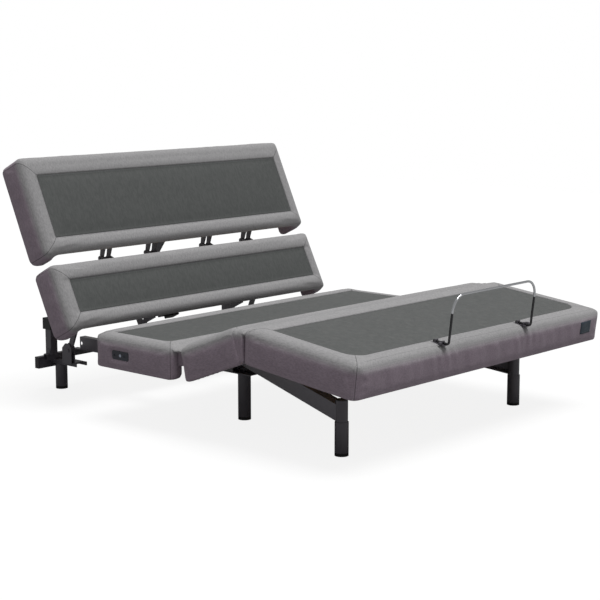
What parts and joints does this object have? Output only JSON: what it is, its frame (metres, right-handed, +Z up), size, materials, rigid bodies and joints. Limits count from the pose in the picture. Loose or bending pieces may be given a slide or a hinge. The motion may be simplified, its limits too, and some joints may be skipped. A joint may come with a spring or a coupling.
{
  "type": "adjustable bed base",
  "caption": "Upholstered adjustable bed base with hinged pillow, back, thigh and leg panels on a black steel frame with round legs and a mattress retainer bar.",
  "frame": {"origin": "on the floor, under the middle of the bounding box", "axes": "+X across the bed, +Y towards the head, +Z up"},
  "size_m": [1.524, 1.977, 0.9958],
  "materials": {
    "black_steel": "satin powder coat",
    "steel_zinc": "zinc plated",
    "chrome_rod": "polished",
    "rod_steel": "ground",
    "grey_fabric": "heathered woven upholstery",
    "deck_wood": "raw board",
    "black_plastic": "matt",
    "cap_plastic": "matt",
    "dark_gloss": "gloss",
    "button_plastic": "gloss",
    "roller_nylon": "turned nylon",
    "motor_plastic": "fine grain"
  },
  "bodies": {
    "base": {"lower_legs": "black_steel", "leg_glides": "black_plastic", "leg_posts": "black_steel", "mid_leg_plates": "black_steel", "foot_rails": "black_steel", "side_rails": "black_steel", "mid_beam": "black_steel", "roller_channels": "black_steel", "head_cross_tube": "black_steel", "leg_saddles": "black_steel", "headboard_sockets": "black_steel", "end_caps": "cap_plastic", "pillow_posts": "black_steel", "post_bumpers": "black_plastic", "strut_brackets": "black_steel", "seat_crossbars": "black_steel", "seat_board": "deck_wood", "seat_rails": "deck_wood", "seat_cover": "grey_fabric", "thigh_hinge_leaves": "black_steel", "head_motor": "motor_plastic", "foot_motor": "motor_plastic", "motor_mounts": "black_steel", "control_box": "black_plastic", "mains_inlet": "black_plastic", "port_plate": "dark_gloss", "frame_bolts": "steel_zinc"},
    "struts": {"lift_struts": "black_steel"},
    "back": {"back_frame": "black_steel", "back_board": "deck_wood", "back_rails": "deck_wood", "back_cover": "grey_fabric", "back_massage_motors": "motor_plastic", "tilt_motor": "motor_plastic"},
    "carriage": {"carriage_frame": "black_steel", "carriage_axles": "steel_zinc", "head_motor_rod": "rod_steel"},
    "front_roller_pair": {"front_rollers": "roller_nylon"},
    "rear_roller_pair": {"rear_rollers": "roller_nylon"},
    "pillow": {"pillow_board": "deck_wood", "pillow_rails": "deck_wood", "pillow_cover": "grey_fabric", "pillow_brackets": "black_steel"},
    "tilt_rod": {"tilt_motor_rod": "rod_steel"},
    "thigh": {"thigh_board": "deck_wood", "thigh_rails": "deck_wood", "thigh_cover": "grey_fabric", "thigh_brackets": "black_steel"},
    "leg_panel": {"leg_board": "deck_wood", "leg_rails": "deck_wood", "leg_cover": "grey_fabric", "leg_brackets": "black_steel", "leg_massage_motors": "motor_plastic", "retainer_bar": "chrome_rod", "retainer_brackets": "black_steel"},
    "lift_arms": {"lift_tube": "black_steel"},
    "arm_rollers": {"lift_rollers": "roller_nylon"},
    "foot_rod": {"foot_motor_rod": "rod_steel"},
    "links": {"knee_links": "black_steel"},
    "button": {"port_button": "button_plastic"}
  },
  "joints": [
    {"name": "back_lift", "type": "hinge", "parent": "base", "child": "struts", "pos_m": [0, 0.81851, 0.185], "axis": [-1, 0, 0], "range_deg": [-63.5, 0]},
    {"name": "back_on_struts", "type": "hinge", "parent": "struts", "child": "back", "pos_m": [0, 0.71848, 0.42065], "axis": [1, 0, 0], "range_deg": [-127.1, 0.1]},
    {"name": "carriage_level", "type": "hinge", "parent": "back", "child": "carriage", "pos_m": [0, 0.61845, 0.185], "axis": [-1, 0, 0], "range_deg": [-63.6, 0.1]},
    {"name": "front_roller_spin", "type": "hinge", "parent": "carriage", "child": "front_roller_pair", "pos_m": [0, 0.66345, 0.185], "axis": [-1, 0, 0], "range_deg": [-722.4, 0.1]},
    {"name": "rear_roller_spin", "type": "hinge", "parent": "carriage", "child": "rear_roller_pair", "pos_m": [0, 0.75345, 0.185], "axis": [-1, 0, 0], "range_deg": [-722.4, 0.1]},
    {"name": "pillow_tilt", "type": "hinge", "parent": "back", "child": "pillow", "pos_m": [0, 0.71819, 0.57329], "axis": [1, 0, 0], "range_deg": [-1.6, 24]},
    {"name": "tilt_rod_slide", "type": "slide", "parent": "back", "child": "tilt_rod", "axis": [0, 0.4462, 0.8949], "range_m": [-0.00195, 0.0292]},
    {"name": "thigh_lift", "type": "hinge", "parent": "base", "child": "thigh", "pos_m": [0, -0.09214, 0.319], "axis": [-1, 0, 0], "range_deg": [-21, 9]},
    {"name": "knee_fold", "type": "hinge", "parent": "thigh", "child": "leg_panel", "pos_m": [0, -0.40839, 0.34721], "axis": [1, 0, 0], "range_deg": [-27.8, 11.9]},
    {"name": "lift_swing", "type": "hinge", "parent": "base", "child": "lift_arms", "pos_m": [0, -0.06954, 0.284], "axis": [-1, 0, 0], "range_deg": [-17.3, 7.5]},
    {"name": "arm_roller_spin", "type": "hinge", "parent": "lift_arms", "child": "arm_rollers", "pos_m": [0, -0.23242, 0.33268], "axis": [1, 0, 0], "range_deg": [-33.1, 14.2]},
    {"name": "foot_rod_slide", "type": "slide", "parent": "base", "child": "foot_rod", "axis": [0, -1, 0], "range_m": [-0.0284, 0.0123]},
    {"name": "knee_link_swing", "type": "hinge", "parent": "base", "child": "links", "pos_m": [0, -0.10554, 0.2484], "axis": [-1, 0, 0], "range_deg": [-21.2, 9.1]},
    {"name": "port_button_push", "type": "slide", "parent": "base", "child": "button", "axis": [1, 0, 0], "range_m": [0, 0.0012], "stiffness_N_per_m": 800, "springref_m": -0.001}
  ],
  "couplings": [
    {"joint": "back_on_struts", "follows": "back_lift", "ratio": 2},
    {"joint": "carriage_level", "follows": "back_lift", "ratio": 1},
    {"joint": "front_roller_spin", "follows": "back_lift", "ratio": 11.361},
    {"joint": "rear_roller_spin", "follows": "back_lift", "ratio": 11.361},
    {"joint": "tilt_rod_slide", "follows": "pillow_tilt", "m_per_rad": 0.0695},
    {"joint": "knee_fold", "follows": "thigh_lift", "ratio": 1.319},
    {"joint": "lift_swing", "follows": "thigh_lift", "ratio": 0.82},
    {"joint": "arm_roller_spin", "follows": "thigh_lift", "ratio": 1.57},
    {"joint": "foot_rod_slide", "follows": "thigh_lift", "m_per_rad": 0.0772},
    {"joint": "knee_link_swing", "follows": "thigh_lift", "ratio": 1.007}
  ]
}
